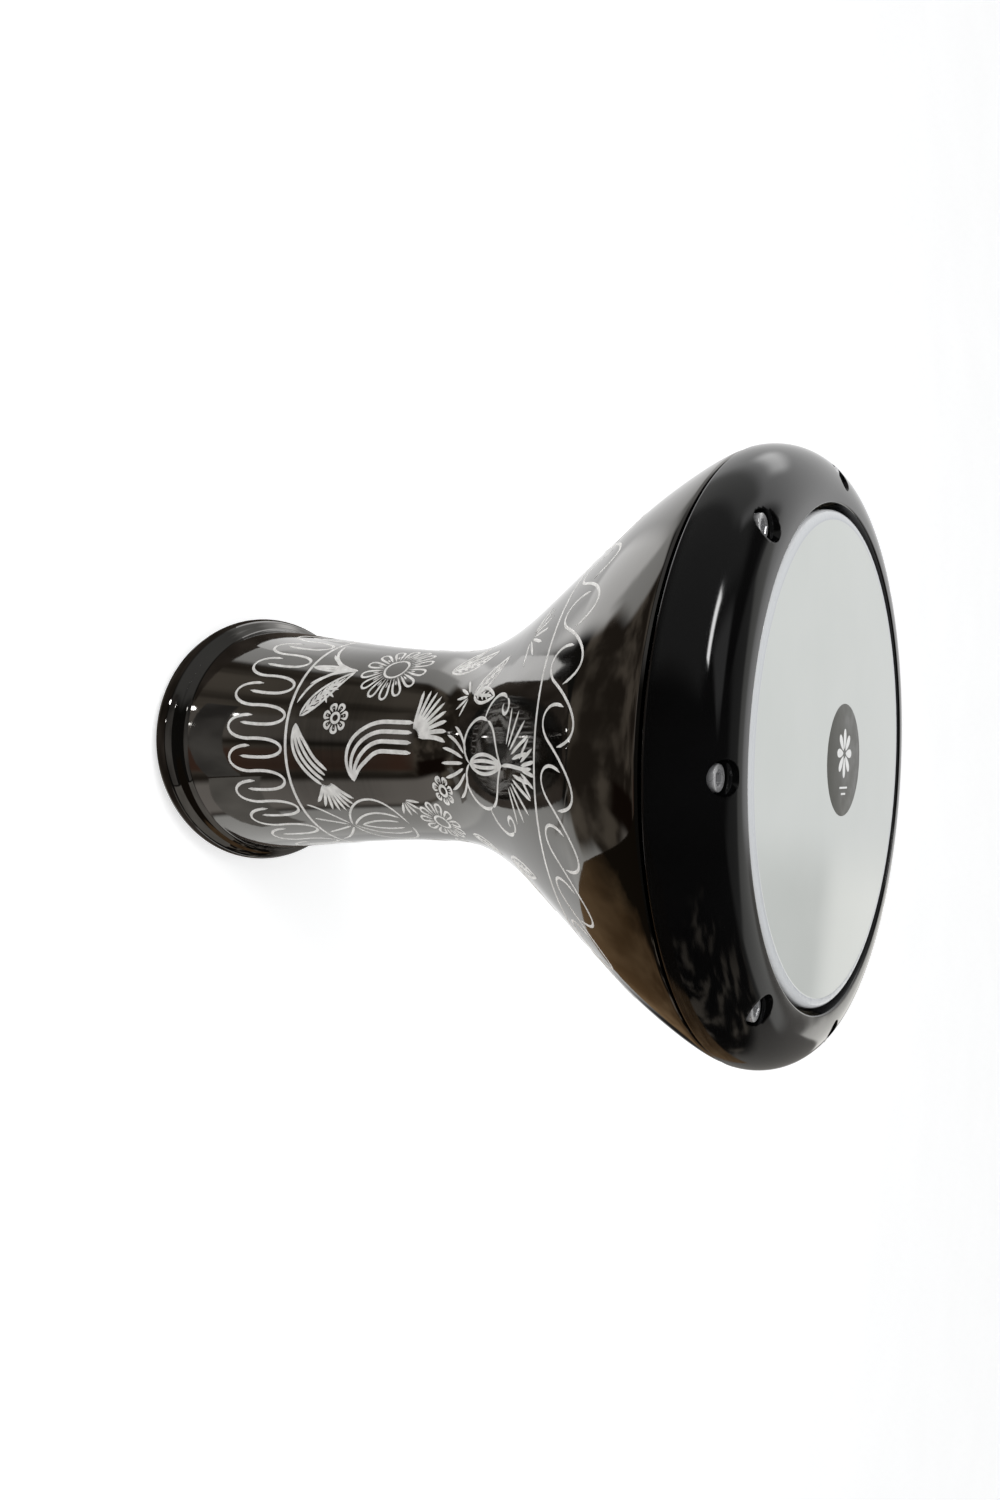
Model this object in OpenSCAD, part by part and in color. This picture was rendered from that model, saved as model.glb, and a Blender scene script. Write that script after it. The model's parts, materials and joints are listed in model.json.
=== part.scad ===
// Goblet drum (darbuka): cast shell, screwed tension ring and a flat tuned head.
// It stands on its foot: the origin is the centre of the foot plane and +Z runs up the axis to the head.

/* [Overall] */
// Height from the foot plane to the lip of the tension ring
drum_h = 430; // [415:1:450]
// Outer diameter of the tension ring
ring_d = 280; // [278:1:284]
// Outer diameter of the foot bead
foot_d = 182; // [176:1:190]
// Outer diameter of the neck at its narrowest
neck_d = 116.6; // [110:0.2:124]

/* [Shell] */
// Height of the rounded bead around the foot
bead_h = 26; // [22:1:30]
// How far the bead stands out of the foot flare
bead_out = 8; // [5:0.5:10]
// Diameter of the flare where it leaves the bead
flare_d = 163.2; // [158:0.2:168]
// Inward slope of the flare above the bead, radius per unit of height
flare_slope = 0.17; // [0.12:0.01:0.22]
// Height of the narrowest point of the neck
waist_z = 219.5; // [205:0.5:232]
// Height at which the bowl becomes a straight cone
cone_z = 302; // [295:1:310]
// Diameter of the bowl at that height
cone_d = 174.4; // [168:0.2:180]
// Height at which the cone rolls into the shoulder
shoulder_z = 360; // [352:1:366]
// Diameter of the shell at that height
shoulder_d = 244; // [236:0.5:250]
// Wall thickness of the casting
wall = 3.5; // [3:0.25:5]

/* [Head] */
// Thickness of the film
film_t = 0.25; // [0.19:0.01:0.3]
// How far the playing surface lies below the lip of the ring
head_drop = 0.6; // [0.4:0.1:2]
// Radial width of the aluminium hoop
hoop_w = 6.8; // [6:0.1:7]
// Height of the aluminium hoop
hoop_h = 8; // [6:0.5:10]
// Diameter of the round badge on the film
badge_d = 51; // [30:1:60]
// Distance from the drum's axis to the badge's centre
badge_offset = 5; // [0:0.5:12]

/* [Tension ring] */
// Bore of the ring's lip
lip_d = 224; // [223:0.5:226]
// Radius of the ring's rolled shoulder
ring_roll = 25; // [22:0.5:26]
// Depth of the ledge that presses on the hoop, below the lip
seat_depth = 13.5; // [12:0.5:15]
// Gap between the ring and the shell with the head in tune
tuning_gap = 0.9; // [0.5:0.1:2]

/* [Tension screws] */
// Number of screws
screw_count = 8; // [6:1:8]
// Diameter of the screw circle
screw_circle_d = 251; // [250:0.5:252]
// Angle of the first screw from +X
screw_phase = 3.4; // [0:0.1:45]
// Nominal diameter of the screws
screw_d = 6; // [5:0.5:6]
// Length of the screws under the head
screw_l = 30; // [26:1:32]
// Diameter of the recess round each screw's head
recess_d = 12.6; // [12.2:0.1:13.5]
// Depth of the recess's floor, below the lip
recess_depth = 12.4; // [11:0.1:13]

/* [Hidden] */

$fn = 120;
curve_steps = 16;
arc_steps = 8;
// Clearance where two pieces of different bodies meet face to face
touch = 0.05;

foot_r = foot_d / 2;
flare_r = flare_d / 2;
bead_r = foot_r - bead_out;
valley_z = bead_h + 5.5;
bead_end = 70;
neck_r = neck_d / 2;
cone_r = cone_d / 2;
shoulder_r = shoulder_d / 2;
cone_slope = (shoulder_r - cone_r) / (shoulder_z - cone_z);

ring_r = ring_d / 2;
lip_r = lip_d / 2;
roll_r = ring_r - ring_roll;
roll_z = drum_h - ring_roll;
ring_back_z = roll_z - 1.6;
flange_z = ring_back_z - tuning_gap;
flange_r = ring_r - 0.6;
flange_edge = 1.2;

film_z = drum_h - head_drop;
edge_round = 2.5;
rim_r = lip_r - 2.7;
rim_w = 4.5;
rim_in_r = rim_r - rim_w;
edge_r = rim_r - edge_round;
edge_z = film_z - film_t - edge_round;
collar_lean = 8;

seat_z = drum_h - seat_depth;
hoop_z = seat_z - touch - hoop_h;
hoop_in_r = rim_r + 0.5;
hoop_out_r = hoop_in_r + hoop_w;
hoop_wall = 0.8;
hoop_floor = 1;
resin_drop = 0.5;
film_foot_z = hoop_z + 2.5;
seat_r = hoop_out_r + 0.6;

head_r = 5 * screw_d / 6;
head_h = screw_d;
socket_w = 5 * screw_d / 6;
washer_r = screw_d - 0.3;
washer_t = 1.6;
recess_z = drum_h - recess_depth;
head_z = recess_z + washer_t + touch;
screw_circle_r = screw_circle_d / 2;
tapped_z = flange_z - 17.5;
boss_r = 7.5;

function screw_angle(i) = screw_phase + (i - 1) * 360 / screw_count;

// Point of a cubic curve and the unit normal that points away from the drum's axis
function bezier(p, t) =
    pow(1 - t, 3) * p[0] + 3 * t * pow(1 - t, 2) * p[1] + 3 * t * t * (1 - t) * p[2] + pow(t, 3) * p[3];
function tangent(p, t) =
    pow(1 - t, 2) * (p[1] - p[0]) + 2 * t * (1 - t) * (p[2] - p[1]) + t * t * (p[3] - p[2]);
function outward(p, t) = let (d = tangent(p, t)) [d[1], -d[0]] / norm(d);
// A cubic curve as points, moved out by d along its normals
function curve(p, d = 0, steps = curve_steps) =
    [for (i = [0:steps]) bezier(p, i / steps) + d * outward(p, i / steps)];
// An arc from angle a to angle b about centre c; ry makes it elliptical
function arc(c, rx, a, b, ry = 0, steps = arc_steps) =
    [for (i = [0:steps]) let (t = a + (b - a) * i / steps) c + [rx * cos(t), (ry > 0 ? ry : rx) * sin(t)]];

// Curves of the shell's outside, as radius and height
flare = [
    [flare_r, valley_z],
    [flare_r - 45 * flare_slope, valley_z + 45],
    [neck_r, waist_z - 45],
    [neck_r, waist_z]
];
throat = [
    [neck_r, waist_z],
    [neck_r, waist_z + 31],
    [cone_r - 23 * cone_slope, cone_z - 23],
    [cone_r, cone_z]
];
shoulder = [
    [shoulder_r, shoulder_z],
    [shoulder_r + 13 * cone_slope, shoulder_z + 13],
    [flange_r - 0.3, flange_z - 7],
    [flange_r, flange_z - flange_edge]
];
bead_tip = [bead_r + bead_out * cos(bead_end), bead_h / 2 * (1 + sin(bead_end))];
bead_tip_way = [-bead_out * sin(bead_end), bead_h / 2 * cos(bead_end)];
valley = [
    bead_tip,
    bead_tip + 3 * bead_tip_way / norm(bead_tip_way),
    [flare_r + 3 * flare_slope, valley_z - 3],
    [flare_r, valley_z]
];
mouth_r = flare_r - wall;

// The straight cone ends inside where it meets the rim
function cone_inside_z(r) = cone_z + (r + wall * sqrt(1 + cone_slope * cone_slope) - cone_r) / cone_slope;

module shell_section() {
    polygon(concat(
        arc([mouth_r + 2, 2], 2, 180, 270),
        arc([bead_r, bead_h / 2], bead_out, -90, bead_end, bead_h / 2, 14),
        curve(valley, 0, 6),
        curve(flare),
        curve(throat),
        curve(shoulder, 0, 10),
        [[flange_r - flange_edge, flange_z], [rim_r, flange_z]],
        arc([edge_r, edge_z], edge_round, 0, 90),
        arc([rim_in_r + 1.6, edge_z + edge_round - 1.6], 1.6, 90, 180, 0, 4),
        [[rim_in_r, cone_inside_z(rim_in_r)]],
        [for (p = [curve(throat, -wall), curve(flare, -wall)]) for (i = [curve_steps:-1:0]) p[i]]
    ));
}

// The casting is hollow between the rim and the shoulder, with a boss left round each tapped hole
module rim_pocket() {
    pocket_floor_z = shoulder_z + 8;
    difference() {
        rotate_extrude() polygon([
            [rim_r + 0.5, pocket_floor_z],
            [shoulder_r + 8 * cone_slope - wall - 0.8, pocket_floor_z],
            [flange_r - wall - 2.5, flange_z - 16],
            [flange_r - wall - 1, flange_z + 1],
            [rim_r + 0.5, flange_z + 1]
        ]);
        at_screws() translate([0, 0, pocket_floor_z - 1]) cylinder(r = boss_r, h = flange_z - pocket_floor_z + 2);
    }
}

module at_screws() {
    for (i = [1:screw_count]) at_screw(i) children();
}

module at_screw(i) {
    rotate([0, 0, screw_angle(i)]) translate([screw_circle_r, 0, 0]) children();
}

module shell() {
    color([0.07, 0.06, 0.055]) difference() {
        rotate_extrude() shell_section();
        rim_pocket();
        at_screws() translate([0, 0, tapped_z]) cylinder(r = screw_d / 2 + touch, h = 30);
    }
}

module ring_section() {
    lip_edge = 0.8;
    back_edge = 1.5;
    polygon(concat(
        [[seat_r, ring_back_z]],
        arc([ring_r - back_edge, ring_back_z + back_edge], back_edge, -90, 0, 0, 5),
        arc([roll_r, roll_z], ring_roll, 0, 90, 0, 24),
        arc([lip_r + lip_edge, drum_h - lip_edge], lip_edge, 90, 180, 0, 5),
        [[lip_r, seat_z], [seat_r, seat_z]]
    ));
}

// The ring is hollowed from behind, with a boss left round each screw
module ring_relief() {
    relief_h = 10;
    difference() {
        rotate_extrude() translate([seat_r + 3.5, ring_back_z - 1])
            square([ring_r - seat_r - 3.5 - 5.5, relief_h + 1]);
        at_screws() translate([0, 0, ring_back_z - 2]) cylinder(r = boss_r, h = relief_h + 4);
    }
}

module tension_ring() {
    color([0.03, 0.03, 0.032]) difference() {
        rotate_extrude() ring_section();
        ring_relief();
        at_screws() {
            translate([0, 0, ring_back_z - 1]) cylinder(r = screw_d / 2 + 0.3, h = ring_roll);
            translate([0, 0, recess_z]) cylinder(r = recess_d / 2, h = ring_roll);
        }
    }
}

// The film lies flat, rolls over the shell's edge and runs down into the hoop
module film_section() {
    out = edge_round + touch + film_t;
    in = edge_round + touch;
    lean = tan(collar_lean);
    roll_top = edge_z - touch;
    bend = [edge_r, roll_top];
    out_end = bend + out * [cos(collar_lean), sin(collar_lean)];
    in_end = bend + in * [cos(collar_lean), sin(collar_lean)];
    polygon(concat(
        [[0, film_z]],
        arc(bend, out, 90, collar_lean),
        [
            [out_end[0] + (out_end[1] - film_foot_z) * lean, film_foot_z],
            [in_end[0] + (in_end[1] - film_foot_z) * lean, film_foot_z]
        ],
        arc(bend, in, collar_lean, 90),
        [[0, film_z - film_t]]
    ));
}

module head_film() {
    color([0.82, 0.83, 0.83]) rotate_extrude() film_section();
}

// Channel that opens upwards and holds the edge of the film
module head_hoop() {
    color([0.75, 0.76, 0.78]) rotate_extrude() difference() {
        translate([hoop_in_r, hoop_z]) square([hoop_w, hoop_h]);
        translate([hoop_in_r + hoop_wall, hoop_z + hoop_floor]) square([hoop_w - 2 * hoop_wall, hoop_h]);
    }
}

module hoop_resin() {
    color([0.78, 0.74, 0.62]) rotate_extrude() difference() {
        translate([hoop_in_r + hoop_wall, hoop_z + hoop_floor])
            square([hoop_w - 2 * hoop_wall, hoop_h - hoop_floor - resin_drop]);
        film_section();
    }
}

module head_badge() {
    badge_t = 0.15;
    color([0.15, 0.15, 0.14]) translate([0, badge_offset, film_z]) cylinder(d = badge_d, h = badge_t);
}

module tension_screw(i) {
    tip = 0.8;
    head_edge = 0.6;
    color([0.8, 0.8, 0.82]) at_screw(i) translate([0, 0, head_z]) difference() {
        rotate_extrude() polygon([
            [0, -screw_l],
            [screw_d / 2 - tip, -screw_l],
            [screw_d / 2, tip - screw_l],
            [screw_d / 2, 0],
            [head_r, 0],
            [head_r, head_h - head_edge],
            [head_r - head_edge, head_h],
            [0, head_h]
        ]);
        translate([0, 0, head_h / 2]) cylinder(d = socket_w / cos(30), h = head_h, $fn = 6);
    }
}

module screw_washer(i) {
    color([0.7, 0.7, 0.72]) at_screw(i) translate([0, 0, recess_z]) difference() {
        cylinder(r = washer_r, h = washer_t);
        translate([0, 0, -1]) cylinder(r = screw_d / 2 + 0.2, h = washer_t + 2);
    }
}

shell();
tension_ring();
head_film();
head_hoop();
hoop_resin();
head_badge();
for (i = [1:screw_count]) {
    tension_screw(i);
    screw_washer(i);
}
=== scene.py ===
import json
import math

import bmesh
import bpy
import numpy as np
from mathutils import Matrix, Vector


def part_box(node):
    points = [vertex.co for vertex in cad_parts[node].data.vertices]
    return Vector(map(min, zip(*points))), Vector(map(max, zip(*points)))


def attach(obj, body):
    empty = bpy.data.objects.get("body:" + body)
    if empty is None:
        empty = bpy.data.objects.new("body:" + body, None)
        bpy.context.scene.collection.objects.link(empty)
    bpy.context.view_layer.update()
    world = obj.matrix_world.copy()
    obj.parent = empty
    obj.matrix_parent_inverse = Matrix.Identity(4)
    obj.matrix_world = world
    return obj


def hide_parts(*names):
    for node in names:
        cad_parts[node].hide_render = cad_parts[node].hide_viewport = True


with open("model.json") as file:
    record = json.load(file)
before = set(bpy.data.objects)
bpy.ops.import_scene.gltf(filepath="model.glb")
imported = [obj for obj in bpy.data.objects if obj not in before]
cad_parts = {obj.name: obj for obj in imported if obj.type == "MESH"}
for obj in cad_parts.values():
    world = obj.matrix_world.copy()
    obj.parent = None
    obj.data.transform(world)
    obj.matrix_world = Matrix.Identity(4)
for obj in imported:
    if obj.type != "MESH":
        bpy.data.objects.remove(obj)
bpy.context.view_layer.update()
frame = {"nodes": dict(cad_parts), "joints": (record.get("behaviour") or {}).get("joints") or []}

MM = 0.001

# ---------------------------------------------------------------- sizes, from the frame, in millimetres
ring_low, ring_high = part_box("tension_ring")
film_low, film_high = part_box("head_film")
badge_low, badge_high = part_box("head_badge")

drum_h = ring_high.z / MM
ring_r = round(ring_high.x / MM)
ring_back_z = ring_low.z / MM
film_z = film_high.z / MM
flange_r = ring_r - 0.6
flange_z = ring_back_z - 0.9
screw_axes = [Vector(j["pos_m"]) for j in frame["joints"] if j["name"].startswith("screw_turn")]

# Driving sizes of the turned profiles
foot_r, bead_h, bead_out, bead_end = 91.0, 26.0, 8.0, 70.0
flare_r, flare_slope, valley_z = 81.6, 0.17, 31.5
neck_r, waist_z = 58.3, 219.5
cone_r, cone_z = 87.2, 302.0
shoulder_r, shoulder_z = 122.0, 360.0
wall = 3.5
lip_r, ring_roll = 112.0, 25.0
seat_z, seat_r = drum_h - 13.5, 117.2
edge_round, film_t = 2.5, 0.25
rim_r, rim_w = lip_r - 2.7, 4.5
recess_r, recess_z = 6.3, drum_h - 12.4
screw_r, head_r, head_h, screw_l = 3.0, 5.0, 6.0, 30.0
washer_r, washer_t = 5.7, 1.6
AROUND = 320


# ---------------------------------------------------------------- outlines: arrays of (radius, height)
def bezier(points, steps=40):
    """A cubic curve through its two end points, as steps + 1 points."""
    p = np.array(points, float)
    t = np.linspace(0, 1, steps + 1)[:, None]
    return (1 - t) ** 3 * p[0] + 3 * t * (1 - t) ** 2 * p[1] + 3 * t * t * (1 - t) * p[2] + t ** 3 * p[3]


def arc(centre, radius, start, end, steps=12, radius_y=None):
    """An arc in degrees; radius_y makes it elliptical."""
    t = np.radians(np.linspace(start, end, steps + 1))
    ry = radius if radius_y is None else radius_y
    return np.stack([centre[0] + radius * np.cos(t), centre[1] + ry * np.sin(t)], -1)


def joined(*parts):
    """Outline pieces end to end, without doubled points."""
    points = np.vstack([np.atleast_2d(p) for p in parts])
    keep = [0] + [i for i in range(1, len(points)) if np.hypot(*(points[i] - points[i - 1])) > 1e-4]
    return points[keep]


def offset(points, distance):
    """The outline moved along its normals: a positive distance is away from the axis on the outside."""
    way = np.gradient(points, axis=0)
    way /= np.hypot(way[:, 0], way[:, 1])[:, None]
    return points + distance * np.stack([way[:, 1], -way[:, 0]], -1)


cone_slope = (shoulder_r - cone_r) / (shoulder_z - cone_z)
bead_r = foot_r - bead_out
bead = arc((bead_r, bead_h / 2), bead_out, -90, bead_end, 36, bead_h / 2)
end_angle = math.radians(bead_end)
bead_way = np.array([-bead_out * math.sin(end_angle), bead_h / 2 * math.cos(end_angle)])
valley = bezier([
    bead[-1],
    bead[-1] + 3 * bead_way / np.hypot(*bead_way),
    (flare_r + 3 * flare_slope, valley_z - 3),
    (flare_r, valley_z),
], 14)
flare = bezier([
    (flare_r, valley_z),
    (flare_r - 45 * flare_slope, valley_z + 45),
    (neck_r, waist_z - 45),
    (neck_r, waist_z),
], 60)
throat = bezier([
    (neck_r, waist_z),
    (neck_r, waist_z + 31),
    (cone_r - 23 * cone_slope, cone_z - 23),
    (cone_r, cone_z),
], 50)
cone = np.linspace((cone_r, cone_z), (shoulder_r, shoulder_z), 20)
shoulder = bezier([
    (shoulder_r, shoulder_z),
    (shoulder_r + 13 * cone_slope, shoulder_z + 13),
    (flange_r - 0.3, flange_z - 7),
    (flange_r, flange_z - 1.2),
], 40)
shell_outside = joined(bead, valley, flare, throat, cone, shoulder)


def shell_radius(z):
    """Outer radius of the shell above the foot bead."""
    side = joined(flare, throat, cone, shoulder)
    return np.interp(z, side[:, 1], side[:, 0])


# ---------------------------------------------------------------- meshes
def new_object(name, verts, faces, smooth=True):
    """A mesh object in the scene, from coordinates in metres."""
    mesh = bpy.data.meshes.new(name)
    mesh.from_pydata([tuple(v) for v in verts], [], faces)
    mesh.update()
    mesh.polygons.foreach_set("use_smooth", [smooth] * len(mesh.polygons))
    obj = bpy.data.objects.new(name, mesh)
    bpy.context.scene.collection.objects.link(obj)
    return obj


def mark_creases(obj, degrees=32):
    """Edges sharper than this keep a crisp shade; the rest of the surface is smooth."""
    bm = bmesh.new()
    bm.from_mesh(obj.data)
    limit = math.radians(degrees)
    for edge in bm.edges:
        edge.smooth = not (len(edge.link_faces) == 2 and edge.calc_face_angle() > limit)
    bm.to_mesh(obj.data)
    bm.free()
    return obj


def revolve(name, outline, around=AROUND, creases=32, place=(0, 0, 0)):
    """A closed outline of (radius, height) in millimetres, turned about a vertical axis at place.

    The outline runs anticlockwise with the axis on its left. Points on the axis become single vertices.
    """
    outline = np.asarray(outline, float)
    turn = np.linspace(0, 2 * math.pi, around, endpoint=False)
    verts, rows = [], []
    for radius, height in outline:
        if radius < 1e-6:
            rows.append([len(verts)] * around)
            verts.append((place[0], place[1], place[2] + height * MM))
            continue
        rows.append(list(range(len(verts), len(verts) + around)))
        x = place[0] + radius * np.cos(turn) * MM
        y = place[1] + radius * np.sin(turn) * MM
        verts += [(a, b, place[2] + height * MM) for a, b in zip(x, y)]
    faces = []
    for i in range(len(rows)):
        low, high = rows[i], rows[(i + 1) % len(rows)]
        if low[0] == low[1] and high[0] == high[1]:
            continue
        for k in range(around):
            n = (k + 1) % around
            face = [low[k], low[n], high[n], high[k]]
            face = [v for j, v in enumerate(face) if v != face[j - 1]]
            faces.append(face)
    obj = new_object(name, verts, faces)
    return mark_creases(obj, creases)


def cut(obj, cutter):
    """Takes the cutter away from obj, and deletes the cutter."""
    change = obj.modifiers.new("cut", "BOOLEAN")
    change.operation = "DIFFERENCE"
    change.solver = "EXACT"
    change.object = cutter
    bpy.context.view_layer.objects.active = obj
    depsgraph = bpy.context.evaluated_depsgraph_get()
    mesh = bpy.data.meshes.new_from_object(obj.evaluated_get(depsgraph))
    obj.modifiers.clear()
    obj.data = mesh
    bpy.data.objects.remove(cutter)
    return obj


def join(name, objects):
    """One object from several meshes that are already in place."""
    bm = bmesh.new()
    for o in objects:
        bm.from_mesh(o.data)
    mesh = bpy.data.meshes.new(name)
    bm.to_mesh(mesh)
    bm.free()
    for o in objects:
        bpy.data.objects.remove(o)
    obj = bpy.data.objects.new(name, mesh)
    bpy.context.scene.collection.objects.link(obj)
    return obj


# ---------------------------------------------------------------- node trees
class Nodes:
    """A short way to write a node tree. Its patterns lie over a texture coordinate."""

    def __init__(self, tree, coordinate):
        self.tree = tree
        self.place = self.add("ShaderNodeTexCoord").outputs[coordinate]

    def add(self, kind, **settings):
        node = self.tree.nodes.new(kind)
        for key, value in settings.items():
            setattr(node, key, value)
        return node

    def link(self, source, target):
        self.tree.links.new(source, target)

    def put(self, value, socket):
        """Sets a socket to a number or a colour, or links it to another socket."""
        if isinstance(value, (int, float)):
            socket.default_value = value
        elif isinstance(value, tuple):
            socket.default_value = (*value, 1)
        else:
            self.link(value, socket)

    def noise(self, scale, detail=3.0, rough=0.5, stretch=(1, 1, 1)):
        """Noise; scale is in blobs for each unit of the coordinate, which is a metre on a piece."""
        mapping = self.add("ShaderNodeMapping")
        mapping.inputs["Scale"].default_value = stretch
        self.link(self.place, mapping.inputs["Vector"])
        node = self.add("ShaderNodeTexNoise")
        node.inputs["Scale"].default_value = scale
        node.inputs["Detail"].default_value = detail
        node.inputs["Roughness"].default_value = rough
        self.link(mapping.outputs["Vector"], node.inputs["Vector"])
        return node.outputs["Fac"]

    def ramp(self, source, stops):
        """A colour ramp from (position, colour) stops."""
        node = self.add("ShaderNodeValToRGB")
        while len(node.color_ramp.elements) < len(stops):
            node.color_ramp.elements.new(0.5)
        for element, (position, colour) in zip(node.color_ramp.elements, stops):
            element.position = position
            element.color = (*colour, 1) if len(colour) == 3 else colour
        self.link(source, node.inputs["Fac"])
        return node.outputs["Color"]

    def range(self, source, low, high, source_low=0.3, source_high=0.7, blend="LINEAR"):
        """The source's range, mapped from low to high."""
        node = self.add("ShaderNodeMapRange", interpolation_type=blend)
        node.inputs["From Min"].default_value = source_low
        node.inputs["From Max"].default_value = source_high
        node.inputs["To Min"].default_value = low
        node.inputs["To Max"].default_value = high
        self.link(source, node.inputs["Value"])
        return node.outputs["Result"]

    def math(self, operation, *values):
        node = self.add("ShaderNodeMath", operation=operation)
        for value, socket in zip(values, node.inputs):
            self.put(value, socket)
        return node.outputs["Value"]

    def mix(self, factor, a, b):
        """Colours or links mixed by a linked factor."""
        node = self.add("ShaderNodeMix", data_type="RGBA")
        self.link(factor, node.inputs["Factor"])
        for key, value in (("A", a), ("B", b)):
            self.put(value, [s for s in node.inputs if s.name == key and s.type == "RGBA"][0])
        return [s for s in node.outputs if s.type == "RGBA"][0]

    def xyz(self):
        """The coordinate's three parts."""
        node = self.add("ShaderNodeSeparateXYZ")
        self.link(self.place, node.inputs["Vector"])
        return node.outputs


class Surface(Nodes):
    """A material: one principled shader, with patterns that lie over the object in metres."""

    def __init__(self, name):
        self.material = bpy.data.materials.new(name)
        self.material.use_nodes = True
        super().__init__(self.material.node_tree, "Object")
        self.shader = self.tree.nodes["Principled BSDF"]

    def set(self, **values):
        for key, value in values.items():
            self.shader.inputs[key.replace("_", " ")].default_value = value

    def paint(self, source, stops):
        """A colour ramp over the source, as the base colour."""
        self.link(self.ramp(source, stops), self.shader.inputs["Base Color"])

    def rough(self, source, low, high):
        self.link(self.range(source, low, high), self.shader.inputs["Roughness"])

    def bump(self, height, strength, distance):
        node = self.add("ShaderNodeBump")
        node.inputs["Strength"].default_value = strength
        node.inputs["Distance"].default_value = distance
        self.link(height, node.inputs["Height"])
        self.link(node.outputs["Normal"], self.shader.inputs["Normal"])

    def radius(self):
        """Distance from the drum's axis, in metres."""
        x, y, _ = self.xyz()
        square = self.math("ADD", self.math("MULTIPLY", x, x), self.math("MULTIPLY", y, y))
        return self.math("SQRT", square)


# ---------------------------------------------------------------- materials
def shell_gloss():
    """Black nickel: a dark mirror, with the slow waviness and faint turning rings of a polished casting."""
    n = Surface("shell_black_nickel")
    n.set(Metallic=1.0)
    n.paint(n.noise(14, 3), [(0.3, (0.150, 0.146, 0.140)), (0.7, (0.180, 0.175, 0.168))])
    n.rough(n.noise(60, 4, 0.6, (1, 1, 0.25)), 0.03, 0.085)
    lathe = n.noise(9, 2, 0.4, (0.6, 0.6, 26))
    wave = n.noise(26, 1)
    n.bump(n.math("ADD", n.math("MULTIPLY", lathe, 0.25), wave), 0.10, 0.0006)
    return n.material


def cast_inside():
    """The bare, grainy casting inside the shell."""
    n = Surface("cast_aluminium_inside")
    n.set(Metallic=0.55)
    n.paint(n.noise(30, 5), [(0.3, (0.10, 0.10, 0.10)), (0.7, (0.20, 0.20, 0.195))])
    grain = n.noise(900, 4, 0.7)
    n.rough(grain, 0.5, 0.72)
    n.bump(grain, 0.5, 0.0004)
    return n.material


def ring_enamel():
    """Deep black stoved enamel, a little wavy."""
    n = Surface("ring_gloss_enamel")
    n.set(Metallic=0.0, IOR=1.5)
    n.paint(n.noise(18, 3), [(0.3, (0.0010, 0.0010, 0.0011)), (0.7, (0.0024, 0.0024, 0.0026))])
    n.rough(n.noise(55, 4, 0.6), 0.05, 0.11)
    n.bump(n.noise(32, 1.5), 0.14, 0.0005)
    return n.material


def bright_metal(name, dark, light, rough_low, rough_high, metallic=1.0):
    """Handled bright metal, between two tones and two roughnesses."""
    n = Surface(name)
    n.set(Metallic=metallic)
    n.paint(n.noise(240, 4, 0.6), [(0.3, dark), (0.7, light)])
    smear = n.noise(700, 4, 0.6)
    n.rough(smear, rough_low, rough_high)
    n.bump(smear, 0.25, 0.00008)
    return n.material


def bright_cut():
    """Freshly cut aluminium: the graver's chatter scatters light, so it looks pale from every side."""
    n = Surface("bright_cut_aluminium")
    n.set(Metallic=0.35)
    n.paint(n.noise(220, 3), [(0.3, (0.66, 0.645, 0.62)), (0.7, (0.90, 0.885, 0.86))])
    chatter = n.noise(1900, 3, 0.6)
    n.rough(chatter, 0.34, 0.55)
    n.bump(chatter, 0.55, 0.00025)
    return n.material


def film_white():
    """White coated film. The coat stops short of the edge, where clear film shows the rim in pale bands."""
    n = Surface("film_coated_white")
    n.set(Metallic=0.0, IOR=1.5, Specular_IOR_Level=0.16)
    coat_end, edge_end = 104.8 * MM, 109.6 * MM
    ragged = 0.6 * MM
    radius = n.radius()
    mottle = n.noise(24, 3, 0.5)
    coat = n.ramp(mottle, [(0.3, (0.515, 0.535, 0.515)), (0.7, (0.533, 0.552, 0.533))])
    uneven = n.math("ADD", radius, n.math("MULTIPLY", mottle, ragged))
    bands = n.range(uneven, 0, 1, coat_end + 0.2 * MM, edge_end)
    edge = n.ramp(bands, [
        (0.0, (0.545, 0.565, 0.555)),
        (0.12, (0.43, 0.445, 0.475)),
        (0.30, (0.50, 0.515, 0.53)),
        (0.62, (0.54, 0.555, 0.57)),
        (0.95, (0.66, 0.67, 0.68)),
    ])
    clear = n.range(radius, 0, 1, coat_end, coat_end + 0.5 * MM)
    n.link(n.mix(clear, coat, edge), n.shader.inputs["Base Color"])
    coat_rough = n.ramp(mottle, [(0.3, (0.05, 0.05, 0.05)), (0.7, (0.07, 0.07, 0.07))])
    n.link(n.mix(clear, coat_rough, (0.06, 0.06, 0.06)), n.shader.inputs["Roughness"])
    n.bump(n.math("MULTIPLY", n.noise(420, 2), clear), 0.5, 0.0003)
    return n.material


def resin_amber():
    """Cast resin that locks the film into its hoop."""
    n = Surface("resin_amber")
    n.set(Metallic=0.0, IOR=1.55)
    cloud = n.noise(120, 4)
    n.paint(cloud, [(0.3, (0.42, 0.34, 0.20)), (0.7, (0.56, 0.47, 0.30))])
    n.rough(cloud, 0.3, 0.5)
    n.bump(cloud, 0.3, 0.0002)
    return n.material


def badge_ink(name, dark, light):
    """Printed ink with a fine grain and slow cloudiness."""
    n = Surface(name)
    n.set(Metallic=0.0, IOR=1.45)
    grain = n.noise(2600, 3, 0.7)
    cloud = n.noise(140, 3)
    both = n.math("ADD", n.math("MULTIPLY", grain, 0.5), n.math("MULTIPLY", cloud, 0.5))
    n.paint(both, [(0.35, dark), (0.65, light)])
    n.rough(cloud, 0.35, 0.5)
    n.bump(grain, 0.1, 0.00005)
    return n.material


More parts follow.
